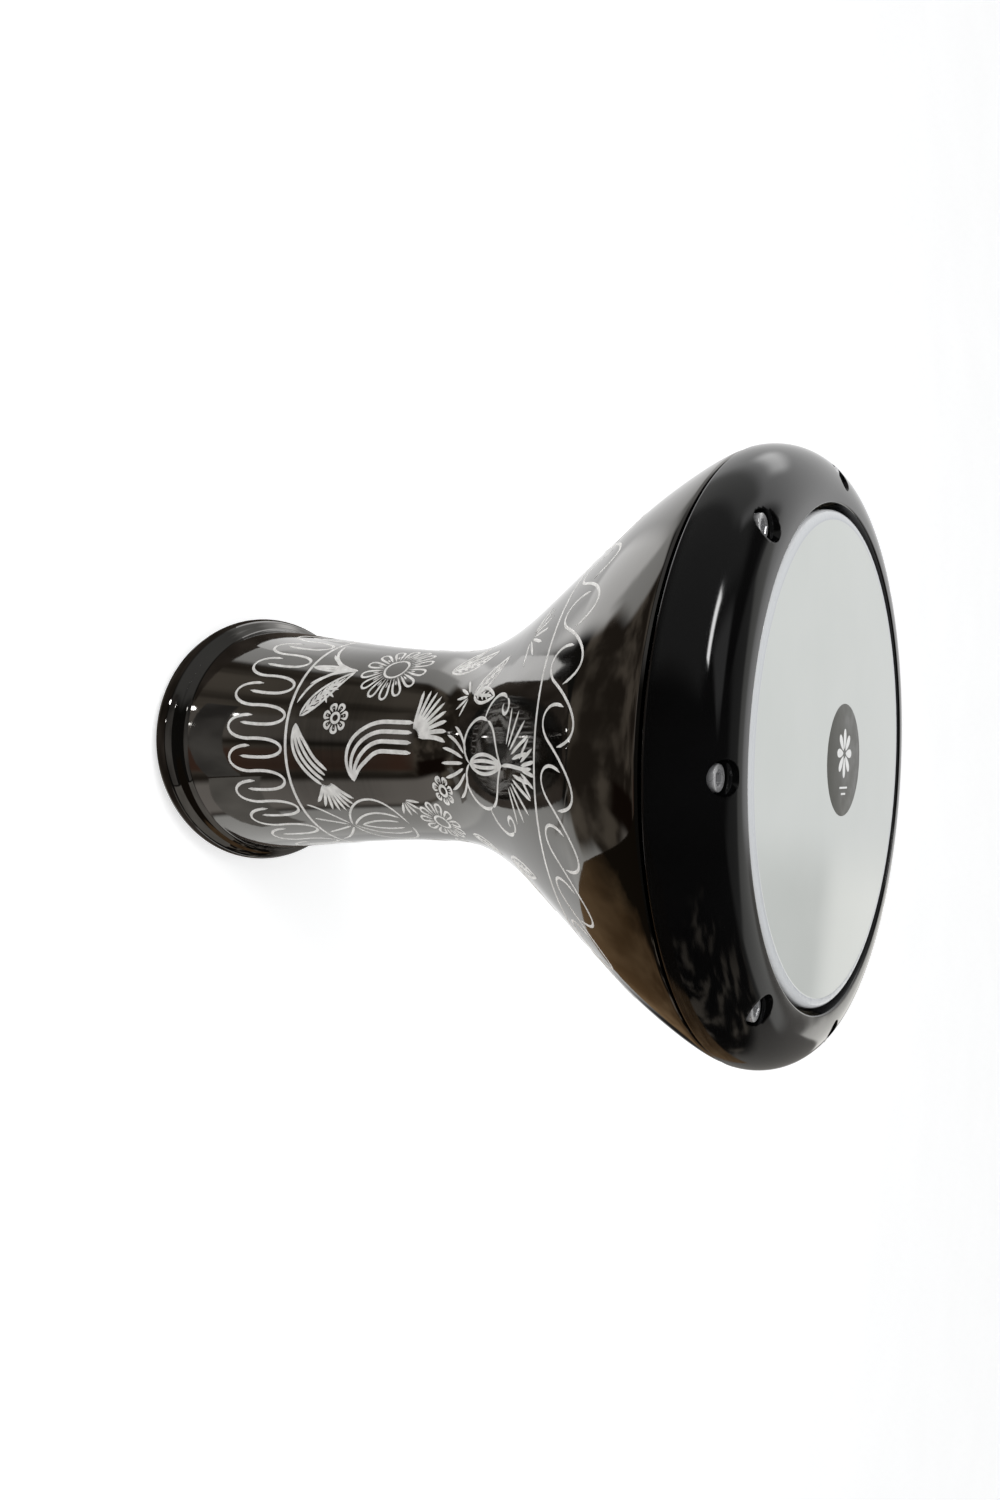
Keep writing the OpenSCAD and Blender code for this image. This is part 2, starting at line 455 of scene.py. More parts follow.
def paint(obj, *materials):
    """Gives the object these materials and no others."""
    obj.data.materials.clear()
    for m in materials:
        obj.data.materials.append(m)
    return obj


# ---------------------------------------------------------------- camera, floor and light
def photo_camera():
    """Where the photograph was taken from, solved on the drum's outline, the ring's lip and the screws."""
    data = bpy.data.cameras.new("photo_camera")
    data.sensor_width = 36.0
    data.lens = 19.45
    data.clip_start = 0.02
    camera = bpy.data.objects.new("photo_camera", data)
    right = Vector((-0.03615, 0.61592, 0.78698)).normalized()
    back = Vector((-0.00302, -0.78756, 0.61624)).normalized()
    up = back.cross(right)
    turn = Matrix((right, up, back)).transposed().to_4x4()
    camera.matrix_world = Matrix.Translation((0.0, -0.38152, 0.53323)) @ turn
    bpy.context.scene.collection.objects.link(camera)
    bpy.context.scene.camera = camera


def studio_floor():
    """A pale floor. The drum's own reflections come from the world and the cards, so it isn't mirrored."""
    half = 12.0
    corners = [(-half, -half, 0), (half, -half, 0), (half, half, 0), (-half, half, 0)]
    floor = new_object("floor", corners, [(0, 1, 2, 3)], smooth=False)
    n = Surface("floor_pale")
    n.set(Roughness=0.9, Emission_Color=(1, 1, 1, 1), Emission_Strength=0.42)
    n.paint(n.noise(3, 2), [(0.3, (0.90, 0.90, 0.90)), (0.7, (0.93, 0.93, 0.93))])
    paint(floor, n.material)
    floor.visible_glossy = False


def glossy_card(name, corners, stops, dark_side=None):
    """A dim card beside the drum that only polished surfaces see. Corners are in millimetres.

    With dark_side, the card fades to near black where Y is less than that, with a ragged edge.
    """
    ragged = 22
    n = Surface(f"{name}_paint")
    verts = [tuple(v * MM for v in corner) for corner in corners]
    card = new_object(name, verts, [range(len(corners))], smooth=False)
    glow = n.ramp(n.noise(17, 3, 0.5), stops)
    if dark_side is not None:
        y = n.math("ADD", n.xyz()["Y"], n.range(n.noise(13, 4, 0.6), -ragged * MM, ragged * MM))
        fade = n.range(y, 0, 1, (dark_side - ragged) * MM, (dark_side + ragged) * MM)
        glow = n.mix(fade, (0.024, 0.018, 0.012), glow)
    n.link(glow, n.shader.inputs["Emission Color"])
    n.set(Emission_Strength=1.0, Base_Color=(0, 0, 0, 1), Roughness=1.0, Specular_IOR_Level=0.0)
    paint(card, n.material)
    card.visible_camera = False
    card.visible_diffuse = False
    card.visible_shadow = False
    card.visible_transmission = False


def glossy_cards():
    """What stands near the drum and shows in its polish."""
    # Painted shade: the floor close round the foot, in the drum's shadow, shows as a dark card in the polish,
    # with a pale strip on the left
    round_foot = np.vstack([arc((0, 0), foot_r + 1.5, 0, 360, 60), arc((-9, 0), foot_r + 26, 360, 0, 60)])
    shaded_floor_glow = [(0.35, (0.035, 0.028, 0.022)), (0.65, (0.12, 0.10, 0.085))]
    glossy_card("shaded_floor_card", [(x, y, -0.5) for x, y in round_foot], shaded_floor_glow)
    strip = [(-117, -32), (-141, -32), (-158, 0), (-158, 70), (-117, 46)]
    pale = [(0.3, (1.35, 1.35, 1.35)), (0.7, (1.5, 1.5, 1.5))]
    glossy_card("pale_card", [(x, y, -0.2) for x, y in strip], pale)

    # Two low boards stand in front of the foot
    for name, left, right, tall, dark, light in (
        ("board_card", (62, -118), (132, -36), 44, (0.24, 0.23, 0.21), (0.42, 0.40, 0.37)),
        ("kerb_card", (-50, -122), (60, -119), 28, (0.09, 0.085, 0.08), (0.26, 0.25, 0.235)),
    ):
        corners = [(*left, 0), (*right, 0), (*right, tall), (*left, tall)]
        glossy_card(name, corners, [(0.35, dark), (0.65, light)])

    # A brown shelf reaches away to the right, lower than the bowl's shoulder
    shelf = [(86, -112), (80, -330), (900, -1000), (900, 690), (340, 170), (132, -12)]
    brown = [(0.35, (0.14, 0.083, 0.04)), (0.65, (0.27, 0.175, 0.095))]
    glossy_card("brown_card", [(x, y, 270) for x, y in shelf], brown, dark_side=-132)


def soft_light(name, place, aim, width, height, power):
    """A rectangular lamp at a place, turned towards aim."""
    data = bpy.data.lights.new(name, "AREA")
    data.shape = "RECTANGLE"
    data.size = width
    data.size_y = height
    data.energy = power
    lamp = bpy.data.objects.new(name, data)
    lamp.location = place
    lamp.rotation_mode = "QUATERNION"
    lamp.rotation_quaternion = (Vector(aim) - Vector(place)).to_track_quat("-Z", "Y")
    bpy.context.scene.collection.objects.link(lamp)
    return lamp


def studio_world():
    """White to the eye and even on matt surfaces. Polished surfaces mirror a plain room instead.

    The room depends only on direction, so it stays still while the camera moves.
    """
    world = bpy.data.worlds.new("studio")
    bpy.context.scene.world = world
    world.use_nodes = True
    world.node_tree.nodes.clear()
    n = Nodes(world.node_tree, "Generated")
    x, y, z = n.xyz()
    # Bearings are measured from -Y, positive towards +X; heights from the horizon
    height = n.math("MULTIPLY", n.math("ARCSINE", z), 180 / math.pi)

    def below(value, low, high):
        """1 where the value is below low, 0 where it is above high."""
        return n.range(value, 1, 0, low, high, "SMOOTHSTEP")

    def patch(behind, bearing, half_width, level, half_height, soft, colour, tilt=0.0):
        """Paints a soft-edged patch of a colour over what is behind it."""
        c, s = math.cos(math.radians(bearing)), math.sin(math.radians(bearing))
        forward = n.math("SUBTRACT", n.math("MULTIPLY", x, s), n.math("MULTIPLY", y, c))
        aside = n.math("ADD", n.math("MULTIPLY", x, c), n.math("MULTIPLY", y, s))
        swing = n.math("MULTIPLY", n.math("ARCTAN2", aside, forward), 180 / math.pi)
        rise = n.math("SUBTRACT", n.math("SUBTRACT", height, level), n.math("MULTIPLY", swing, tilt))
        wide = below(n.math("ABSOLUTE", swing), half_width - soft, half_width + soft)
        tall = below(n.math("ABSOLUTE", rise), half_height - soft, half_height + soft)
        return n.mix(n.math("MULTIPLY", wide, tall), behind, colour)

    def clouds(scale, stretch, low, high, dark, light):
        """Blotches of two tones."""
        return n.mix(below(n.noise(scale, stretch=stretch), low, high), light, dark)

    floor_brown = clouds(5.0, (1, 1, 2.0), 0.40, 0.66, (0.055, 0.044, 0.034), (0.24, 0.205, 0.165))
    near_brown = clouds(3.2, (1.3, 1.3, 0.4), 0.38, 0.62, (0.06, 0.05, 0.04), (0.24, 0.21, 0.175))
    clutter = clouds(4.6, (1.8, 1.8, 0.8), 0.50, 0.66, (0.012, 0.011, 0.010), (0.34, 0.30, 0.25))
    # Each is (bearing, half width, level, half height, softness, colour, tilt), in degrees; later ones cover
    patches = [
        # The dim front of the room, and the brown floor with its darker and lighter stretches
        (-70, 42, 14, 38, 8, (0.19, 0.19, 0.185)),
        (0, 104, -65, 27, 3, floor_brown),
        (32, 12, -58, 12, 3, (0.022, 0.013, 0.009)),
        (0, 100, -40, 3, 3, near_brown),
        (-12, 12, -40, 3, 3, (0.34, 0.31, 0.28)),
        (20, 11, -40, 3, 3, (0.16, 0.085, 0.06)),
        (58, 16, -48, 12, 4, (0.52, 0.485, 0.45)),
        # The ceiling, the furniture on the right, and the pale end of the room beyond it
        (-80, 24, 70, 12, 6, (0.45, 0.45, 0.45)),
        (97, 39, 8, 40, 8, clutter),
        (150, 25, 3, 26, 5, (0.25, 0.24, 0.225)),
        (180, 42, 48, 20, 6, (0.17, 0.17, 0.165)),
        (180, 37, 34, 12, 2.5, (0.58, 0.58, 0.56)),
        (190, 36, 5, 10.5, 0.6, (1.3, 1.28, 1.22)),
        # The lit floor on the right, from far to near
        (150, 28, -53, 19, 4, (0.74, 0.74, 0.73)),
        (132, 32, -71, 5, 3, (0.74, 0.74, 0.72)),
        (103, 25, -52, 16, 3, (0.94, 0.94, 0.92)),
        # The wall on the left, dimmer where it turns away and brighter low down and at its edge
        (-143, 44, -16, 48, 3, (0.95, 0.95, 0.95)),
        (-104, 10, -5, 32, 5, (0.45, 0.45, 0.44)),
        (-115, 19, -53, 10, 3, (1.55, 1.55, 1.55)),
        (-90, 12, -48, 11, 3, (0.85, 0.85, 0.84)),
        (-127, 5, 5, 10, 4, (2.2, 2.2, 2.2)),
        # The floor behind the drum, and last the tilted soft box
        (180, 26, -42, 30, 5, (1.05, 1.05, 1.05)),
        (-61, 15, 50, 2.4, 1.2, (16.0, 16.0, 16.0), 0.30),
    ]
    gloss = (0.02, 0.019, 0.017)
    for settings in patches:
        gloss = patch(gloss, *settings)

    rays = n.add("ShaderNodeLightPath")
    seen = n.mix(rays.outputs["Is Glossy Ray"], (0.62, 0.625, 0.63), gloss)
    seen = n.mix(rays.outputs["Is Camera Ray"], seen, (1.0, 1.0, 1.0))
    background = n.add("ShaderNodeBackground")
    n.link(seen, background.inputs["Color"])
    n.link(background.outputs["Background"], n.add("ShaderNodeOutputWorld").inputs["Surface"])


def studio_lights():
    """Two soft lamps for the matt surfaces, and the small ones that glint in the foot."""
    middle = (0, 0, 0.3)
    soft_light("window_light", (-0.72, -0.33, 1.36), middle, 0.62, 0.34, 7).visible_glossy = False
    soft_light("fill_light", (0.9, -0.5, 1.1), middle, 0.9, 0.6, 3).visible_glossy = False
    # A row of pin lamps close to the foot glints in its bead and in the valley above
    pin_away, pin_size, pin_power = 0.045, 0.005, 0.0012
    for k, (glint_at, bearing, rise) in enumerate((
        ((-0.020, -0.086, 0.023), -22, 6),
        ((-0.010, -0.090, 0.017), -11, -35),
        ((-0.002, -0.091, 0.013), -3, -58),
        ((-0.019, -0.079, 0.032), -25, -40),
    )):
        b, e = math.radians(bearing), math.radians(rise)
        way = Vector((math.sin(b) * math.cos(e), -math.cos(b) * math.cos(e), math.sin(e)))
        place = Vector(glint_at) + pin_away * way
        lamp = soft_light(f"pin_lamp_{k}", place, glint_at, pin_size, pin_size, pin_power)
        lamp.data.shape = "DISK"
        lamp.visible_camera = False


# ---------------------------------------------------------------- pieces
def shell_piece(outer, inner):
    """The casting, turned from one closed outline: outside, hidden groove and rim, then inside."""
    mouth_r, mouth_edge = flare_r - wall, 2
    rim_in_r, rim_in_edge = rim_r - rim_w, 1.6
    edge_z = film_z - film_t - edge_round
    inside_cone = offset(joined(cone, shoulder[:4]), -wall)
    inside = joined(offset(flare, -wall), offset(throat, -wall), inside_cone[inside_cone[:, 0] < rim_in_r])
    # A deep groove runs round between the outer wall and the rim
    groove_rise, bend_depth = 8, 16
    groove_z = shoulder_z + groove_rise
    groove_r = shoulder_r + groove_rise * cone_slope - wall - 0.8
    outside = joined(
        arc((mouth_r + mouth_edge, mouth_edge), mouth_edge, 180, 270, 8), shell_outside,
        [(flange_r - 0.35, flange_z - 0.35), (flange_r - 1.2, flange_z), (flange_r - wall - 1, flange_z)],
    )
    hidden = joined(
        [(flange_r - wall - 2.5, flange_z - bend_depth), (groove_r, groove_z)],
        [(rim_r + 0.5, groove_z), (rim_r + 0.5, flange_z), (rim_r, flange_z)],
        arc((rim_r - edge_round, edge_z), edge_round, 0, 90, 10),
        arc((rim_in_r + rim_in_edge, edge_z + edge_round - rim_in_edge), rim_in_edge, 90, 180, 8),
    )
    outline = joined(outside, hidden, inside[::-1])
    shell = revolve("shell_body", outline)
    paint(shell, outer, inner)
    rows = len(outline)
    first_inner = len(outside)
    # The second material covers the rows of faces from the groove to the foot's inner edge
    slots = np.repeat([1 if first_inner - 1 <= i < rows - 1 else 0 for i in range(rows)], AROUND)
    shell.data.polygons.foreach_set("material_index", slots.astype(np.int32))
    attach(shell, "root")
    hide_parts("shell")
    return shell


def ring_piece(enamel):
    """The rolled ring with a stepped hole for each screw."""
    lip_edge, lip_depth, back_edge = 0.8, 7, 1.5
    roll_r, roll_z = ring_r - ring_roll, drum_h - ring_roll
    outline = joined(
        np.linspace((seat_r, ring_back_z), (ring_r - back_edge, ring_back_z), 12),
        arc((ring_r - back_edge, ring_back_z + back_edge), back_edge, -90, 0, 10),
        arc((roll_r, roll_z), ring_roll, 0, 90, 56),
        arc((lip_r + lip_edge, drum_h - lip_edge), lip_edge, 90, 180, 10),
        [(lip_r, drum_h - lip_depth), (lip_r, seat_z), (seat_r, seat_z)],
    )
    ring = revolve("ring_body", outline, 480)
    cutters = []
    hole_r, below, above = screw_r + 0.3, ring_back_z - 2, drum_h + 3
    shank_hole = [(0, below), (hole_r, below), (hole_r, recess_z)]
    stepped = shank_hole + [(recess_r, recess_z), (recess_r, above), (0, above)]
    for i, axis in enumerate(screw_axes):
        cutters.append(revolve(f"cutter_{i}", stepped, 72, place=(axis.x, axis.y, 0)))
    cut(ring, join("cutters", cutters))
    soften_recess_edges(ring)
    mark_creases(ring)
    paint(ring, enamel)
    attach(ring, "tension_ring")
    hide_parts("tension_ring")
    return ring


def soften_recess_edges(ring):
    """Rounds the edge where each recess breaks through the ring's rolled face."""
    bm = bmesh.new()
    bm.from_mesh(ring.data)
    bmesh.ops.remove_doubles(bm, verts=bm.verts, dist=2e-6)

    def on_wall(vert):
        return vert.co.z > (recess_z + 1) * MM and min(
            abs(math.hypot(vert.co.x - a.x, vert.co.y - a.y) - recess_r * MM) for a in screw_axes) < 2e-5

    edges = [e for e in bm.edges
             if all(on_wall(v) for v in e.verts) and len(e.link_faces) == 2 and e.calc_face_angle() > 0.3]
    bmesh.ops.bevel(bm, geom=edges, offset=0.35 * MM, offset_type="OFFSET", segments=3, profile=0.5,
                    affect="EDGES", clamp_overlap=True)
    bm.normal_update()
    bm.to_mesh(ring.data)
    bm.free()
    ring.data.polygons.foreach_set("use_smooth", [True] * len(ring.data.polygons))


def screw_mesh():
    """A socket screw with a knurled head, a chamfered hex socket and a cut thread; origin under the head.

    Each row of the outline is (radius, kind, height), where the kind says how its circle is cut.
    """
    around, ridges = 192, 48
    edge, tip, thread_start, pitch, depth = 0.5, 0.8, -9.0, 1.0, 0.32
    turn = np.linspace(0, 2 * math.pi, around, endpoint=False)
    knurl = 0.07 * (1 + np.cos(turn * ridges))
    rows = [(0, "plain", -screw_l), (screw_r - tip, "plain", -screw_l)]
    rows += [(screw_r, "thread", z) for z in np.arange(-screw_l + tip, thread_start, pitch / 8)]
    rows += [(screw_r, "plain", thread_start + 0.3), (screw_r, "plain", 0), (head_r - 0.25, "plain", 0)]
    rows += [(head_r - 0.05, "knurl", 0.25), (head_r, "knurl", 0.7), (head_r, "knurl", head_h - edge - 0.5)]
    rows += [(r, "plain", z) for r, z in arc((head_r - edge - 0.1, head_h - edge), edge, 0, 90, 6)]
    rows += [(3.3, "plain", head_h), (0, "plain", head_h)]
    verts, index = [], []
    for radius, kind, z in rows:
        if radius == 0:
            index.append([len(verts)] * around)
            verts.append((0, 0, z * MM))
            continue
        index.append(list(range(len(verts), len(verts) + around)))
        phase = (z / pitch - turn / (2 * math.pi)) % 1.0
        cut_in = {"plain": 0 * turn, "thread": depth * np.abs(2 * phase - 1), "knurl": knurl}[kind]
        for a, inward in zip(turn, cut_in):
            verts.append(((radius - inward) * math.cos(a) * MM, (radius - inward) * math.sin(a) * MM, z * MM))
    faces = []
    for low, high in zip(index[:-1], index[1:]):
        for k in range(around):
            m = (k + 1) % around
            face = [low[k], low[m], high[m], high[k]]
            face = [v for j, v in enumerate(face) if v != face[j - 1]]
            if len(face) > 2:
                faces.append(face)
    blank = new_object("screw_blank", verts, faces)
    socket = new_object("hex", *hex_prism(2.5, 3.0, head_h + 1, 0.35), smooth=False)
    cut(blank, socket)
    mark_creases(blank, 34)
    mesh = blank.data
    bpy.data.objects.remove(blank)
    return mesh


def hex_prism(half_flat, floor, top, chamfer):
    """Hex socket, as a cutter: a chamfer widens its mouth and a shallow drill point deepens its floor."""
    drill_point, past = 0.6, 0.35
    radius = half_flat / math.cos(math.radians(30))
    wide = radius + chamfer + past
    levels = [(radius, floor), (radius, head_h - chamfer), (wide, head_h + past), (wide, top)]
    verts = [(0, 0, (floor - drill_point) * MM)]
    for r, z in levels:
        for k in range(6):
            a = math.radians(60 * k)
            verts.append((r * math.cos(a) * MM, r * math.sin(a) * MM, z * MM))
    verts.append((0, 0, top * MM))
    faces = [(0, 1 + (k + 1) % 6, 1 + k) for k in range(6)]
    for level in range(len(levels) - 1):
        base = 1 + 6 * level
        faces += [(base + k, base + (k + 1) % 6, base + 6 + (k + 1) % 6, base + 6 + k) for k in range(6)]
    last = len(verts) - 1
    faces += [(last - 6 + k, last - 6 + (k + 1) % 6, last) for k in range(6)]
    return verts, faces


def screws_and_washers(chrome, zinc):
    """A screw and a washer in each recess; the eight screws share one mesh."""
    mesh = screw_mesh()
    gap, edge = 0.05, 0.25
    under_head = recess_z + washer_t + gap
    washer_outline = joined(
        [(screw_r + 0.2, 0), (washer_r - edge, 0)], arc((washer_r - edge, edge), edge, -90, 0, 4),
        arc((washer_r - edge, washer_t - edge), edge, 0, 90, 4), [(screw_r + 0.2, washer_t)],
    )
    for i, axis in enumerate(screw_axes, 1):
        screw = bpy.data.objects.new(f"socket_screw_{i}", mesh)
        bpy.context.scene.collection.objects.link(screw)
        # Each head stopped at its own angle when it was tightened
        angle = 2.4 * i
        place = Matrix.Translation((axis.x, axis.y, under_head * MM))
        screw.matrix_world = place @ Matrix.Rotation(angle, 4, "Z")
        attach(screw, f"screw_{i}")
        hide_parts(f"tension_screw_{i}")
        washer = revolve(f"washer_{i}", washer_outline, 96, place=(axis.x, axis.y, recess_z * MM))
        paint(washer, zinc)
        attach(washer, "tension_ring")
        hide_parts(f"screw_washer_{i}")
    mesh.materials.clear()
    mesh.materials.append(chrome)


def head_piece(film):
    """The film: a flat disc that rolls over the rim and leans outwards down to its hoop."""
    lean, gap = 8, 0.05
    bend_r, bend_z = rim_r - edge_round, film_z - film_t - edge_round - gap
    foot_z = film_low.z / MM
    slope = math.tan(math.radians(lean))
    over = arc((bend_r, bend_z), edge_round + gap + film_t, lean, 90, 16)
    under = arc((bend_r, bend_z), edge_round + gap, 90, lean, 16)
    skirt = [(r + (z - foot_z) * slope, foot_z) for r, z in (under[-1], over[0])]
    outline = joined(
        skirt,
        over,
        np.linspace((bend_r - 0.5, film_z), (0, film_z), 60),
        np.linspace((0, film_z - film_t), (bend_r - 0.5, film_z - film_t), 30),
        under,
    )
    head = revolve("drum_film", outline)
    paint(head, film)
    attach(head, "root")
    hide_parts("head_film")
    return head


def badge_piece(ink, mark):
    """A thin printed disc, with its mark standing a little above it as the top fifth of its thickness."""
    centre = ((badge_low.x + badge_high.x) / 2, (badge_low.y + badge_high.y) / 2)
    radius = (badge_high.x - badge_low.x) / 2 / MM
    thick = (badge_high.z - badge_low.z) / MM
    base = badge_low.z / MM
    face = thick * 0.8
    outline = joined([(0, 0), (radius, 0), (radius, thick * 0.5), (radius - 0.1, face), (0, face)])
    badge = revolve("badge_disc", outline, 160, place=(centre[0], centre[1], base * MM))
    paint(badge, ink)
    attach(badge, "root")
    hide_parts("head_badge")
    petals = petal_mark("badge_mark", centre, (base + face) * MM, (thick - face) * MM)
    paint(petals, mark)
    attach(petals, "root")


def petal_mark(name, centre, z, thick):
    """A plain eight-petal rosette over two short bars, printed on the badge with its top towards -X."""
    petals, rise, half_bar = 8, 3.0, 0.45
    outlines = []
    for k in range(petals):
        a = 2 * math.pi * k / petals
        t = np.linspace(0, 2 * math.pi, 28, endpoint=False)
        along, across = 6.6 + 4.6 * np.cos(t), 1.9 * np.sin(t) * (1 + 0.35 * np.cos(t))
        outlines.append(np.stack([along * math.cos(a) - across * math.sin(a),
                                  along * math.sin(a) + across * math.cos(a) + rise], -1))
    for half_width, level in ((6.0, -12.6), (3.4, -15.4)):
        low, high = level - half_bar, level + half_bar
        outlines.append([(-half_width, low), (half_width, low), (half_width, high), (-half_width, high)])
    verts, faces = [], []
    for outline in outlines:
        n, start = len(outline), len(verts)
        for level in (z, z + thick):
            verts += [(centre[0] - up * MM, centre[1] + right * MM, level) for right, up in outline]
        faces.append(tuple(start + i for i in range(n))[::-1])
        faces.append(tuple(start + n + i for i in range(n)))
        faces += [(start + i, start + (i + 1) % n, start + n + (i + 1) % n, start + n + i) for i in range(n)]
    return new_object(name, verts, faces, smooth=False)


# ---------------------------------------------------------------- engraving
# A flat stroke is an array of (right, up) in mm. On the shell it is one of (bearing in degrees, height in mm)
def curve(*points):
    """A flat cubic curve between its first and last points."""
    return bezier(points, 24)


def spiral(radius, start, sweep, tighten=0.0, centre=(0, 0)):
    """An arc in degrees, anticlockwise when sweep is positive; it winds in when it tightens."""
    t = np.linspace(0, 1, max(8, int(abs(sweep) / 9)))
    a = np.radians(start + sweep * t)
    r = radius * (1 - tighten * t)
    return np.stack([centre[0] + r * np.cos(a), centre[1] + r * np.sin(a)], -1)


def fan(count, aim, spread, near, far, centre=(0, 0), belly=0.0, bend=0.0):
    """Strokes that spread from a hub about the direction aim; belly lengthens the middle ones."""
    strokes = []
    for k in range(count):
        s = k / (count - 1)
        angle = math.radians(aim + spread * (s - 0.5))
        along = np.linspace(near, far + belly * math.sin(math.pi * s), 10)
        angle += math.radians(bend * (2 * s - 1)) * np.linspace(0, 1, 10) ** 2
        strokes.append(np.stack([centre[0] + along * np.cos(angle), centre[1] + along * np.sin(angle)], -1))
    return strokes


def rosette(inner, outer, petals):
    """A circle with looped petals, and a short vein in each."""
    strokes = [spiral(inner, 0, 360)]
    t = np.linspace(0, math.pi, 18)
    along = inner + 1.5 + (outer - inner - 1.5) * np.sin(t) ** 0.6
    swing = 0.86 * math.pi / petals * np.cos(t) * (0.62 + 0.38 * np.sin(t))
    vein = np.linspace(inner + 4, (inner + outer) / 2, 5)
    for k in range(petals):
        a = 2 * math.pi * k / petals
        strokes.append(np.stack([along * np.cos(a + swing), along * np.sin(a + swing)], -1))
        strokes.append(np.stack([vein * math.cos(a), vein * math.sin(a)], -1))
    return strokes


def leaf(length, width, ribs=0):
    """A pointed leaf along +x: two edges, a midrib, and ribs that slant towards the tip."""
    t = np.linspace(0, 1, 20)
    edge = width / 2 * np.sin(math.pi * t ** 0.8)
    strokes = [np.stack([length * t, edge], -1), np.stack([length * t, -edge], -1)]
    strokes.append(np.stack([length * t[1:-3], 0 * t[1:-3]], -1))
    for k in range(ribs):
        root = length * (0.12 + 0.62 * k / ribs)
        for side in (-1, 1):
            strokes.append(curve((root, 0), (root + 2, side * 0.12 * width), (root + 4, side * 0.25 * width),
                                 (root + 0.14 * length, side * 0.30 * width)))
    return strokes


def plume(radius, sweep, run, width, bristles, reach):
    """Four strands that leave a point, swing left round an arc, run on straight and open into a brush."""
    strokes = []
    turn = np.radians(sweep * np.linspace(0, 1, 24))
    for k in range(4):
        aside = width * (k / 3 - 0.5) * np.sin(np.clip(np.linspace(0, 1.7, 24), 0, 1) * math.pi / 2)
        r = radius + aside
        strokes.append(np.stack([r * np.sin(turn), radius - r * np.cos(turn)], -1))
        way = np.array([math.cos(turn[-1]), math.sin(turn[-1])])
        along = np.linspace(0, run, 8)[1:, None]
        strokes[-1] = np.vstack([strokes[-1], strokes[-1][-1] + along * way])
    tip = (strokes[0][-1] + strokes[-1][-1]) / 2
    return strokes + fan(bristles, sweep - 46, 78, 5, reach, tip, 2, 6)


def mirrored(strokes):
    """The strokes and their mirror images left and right of +y."""
    return [*strokes, *(s * (-1, 1) for s in strokes)]


def lotus():
    """A pointed bud over seven leaves, held between two loops, with a spray of leaves at each shoulder."""
    bud = [curve((0, 0), (side * 7, 8), (side * 5, 22), (0, 34)) for side in (-1, -0.35, 0.35, 1)]
    loops = mirrored([
        curve((0, 0), (9, -12), (27, 2), (20, 18)), curve((20, 18), (17, 28), (8, 26), (0, 33)),
        curve((21, 15), (31, 18), (35, 30), (30, 36)), spiral(4.2, 20, 300, 0.5, (26, 35)),
    ])
    return [*bud, *loops, curve((0, 34), (-1.5, 44), (1.5, 52), (0, 62)),
            *fan(7, -90, 128, 7, 23, (0, 0), 3, -12),
            *mirrored([*fan(5, 47, 56, 9, 25, (1, 36), 2, 4), *fan(3, 62, 36, 5, 17, (0, 48))])]


def tulip():
    """Two pairs of long petals that meet in a point, with strands inside and leaves below."""
    return mirrored([
        curve((0, 0), (28, 8), (30, 42), (2, 47)), curve((0, 2), (14, 16), (13, 32), (7, 43)),
        curve((0, 8), (5, 20), (5, 30), (3, 40)), curve((2, -1), (9, -8), (17, -16), (20, -26)),
        curve((1, -3), (4, -12), (6, -20), (8, -27)),
    ])


def sprig():
    """An upright leaf with three strokes down each side."""
    upright = [stroke @ [[0, 1], [1, 0]] for stroke in leaf(38, 4)]
    side = [
        curve((k, 34 - 5 * k), (3 + k, 24 - 4 * k), (6 + 3 * k, 14 - 3 * k), (14 + 7 * k, 7 - 2 * k))
        for k in range(3)
    ]
    return upright + mirrored(side)


def tall_spray():
    """A tall wavy stem with pairs of scrolls and small leaves, over a fan of leaves."""
    pairs = []
    for level in (16, 56, 94):
        pairs += [curve((0, level), (6, level + 12), (19, level + 13), (20, level + 3)),
                  spiral(4.6, 0, -330, 0.45, (15.4, level + 3)),
                  curve((0, level + 8), (2, level + 16), (6, level + 22), (12, level + 25))]
    stem = [curve((0, 0), (5, 40), (-5, 80), (0, 126))]
    return [*stem, *mirrored(pairs), *fan(7, -90, 140, 4, 17, (0, 0), 3, -12)]


def set_down(bearing, height, strokes, turn=0.0, size=1.0, flip=1):
    """Flat strokes laid on the shell, turned anticlockwise; mirrored top to bottom first if flip is -1."""
    c, s = size * math.cos(math.radians(turn)), size * math.sin(math.radians(turn))
    laid = []
    for stroke in strokes:
        x, y = stroke[:, 0], flip * stroke[:, 1]
        z = height + s * x + c * y
        laid.append(np.stack([bearing + np.degrees((c * x - s * y) / shell_radius(z)), z], -1))
    return laid


